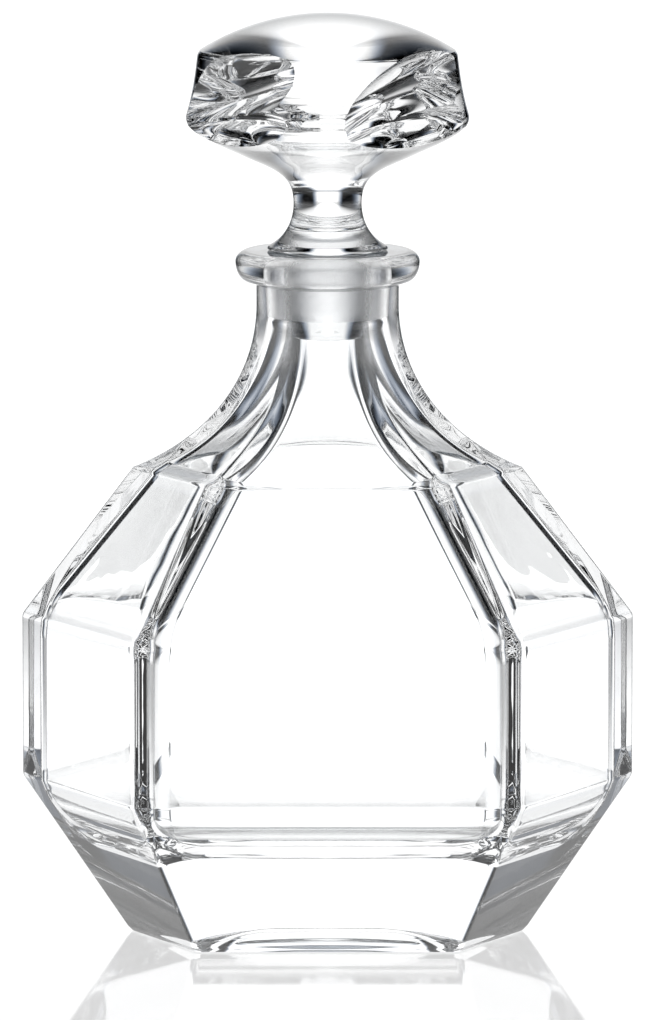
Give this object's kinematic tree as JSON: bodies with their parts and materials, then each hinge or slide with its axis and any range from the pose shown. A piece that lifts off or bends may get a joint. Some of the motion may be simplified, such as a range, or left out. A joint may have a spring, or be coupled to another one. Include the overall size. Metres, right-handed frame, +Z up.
{
  "type": "cut crystal decanter",
  "caption": "Heavy clear crystal decanter with a stretched hexagonal faceted body, flared panelled neck, rolled collar and a ground-in stopper with a domed, wheel-cut head.",
  "frame": {"origin": "centre of the base, on the surface that the decanter stands on", "axes": "+Z up through the neck and the stopper, X across the wide front panel, -Y out of the front panel"},
  "size_m": [0.1554, 0.1052, 0.235],
  "materials": {
    "bottle_crystal": "fire-polished clear crystal, with a finely ground band inside the neck",
    "stopper_crystal": "polished clear crystal, with a finely ground band round the plug"
  },
  "bodies": {
    "bottle": {"bottle": "bottle_crystal"},
    "stopper": {"stopper": "stopper_crystal"}
  },
  "joints": [
    {"name": "stopper_lift", "type": "slide", "parent": "bottle", "child": "stopper", "axis": [0, 0, 1], "range_m": [0, 0.06]}
  ]
}
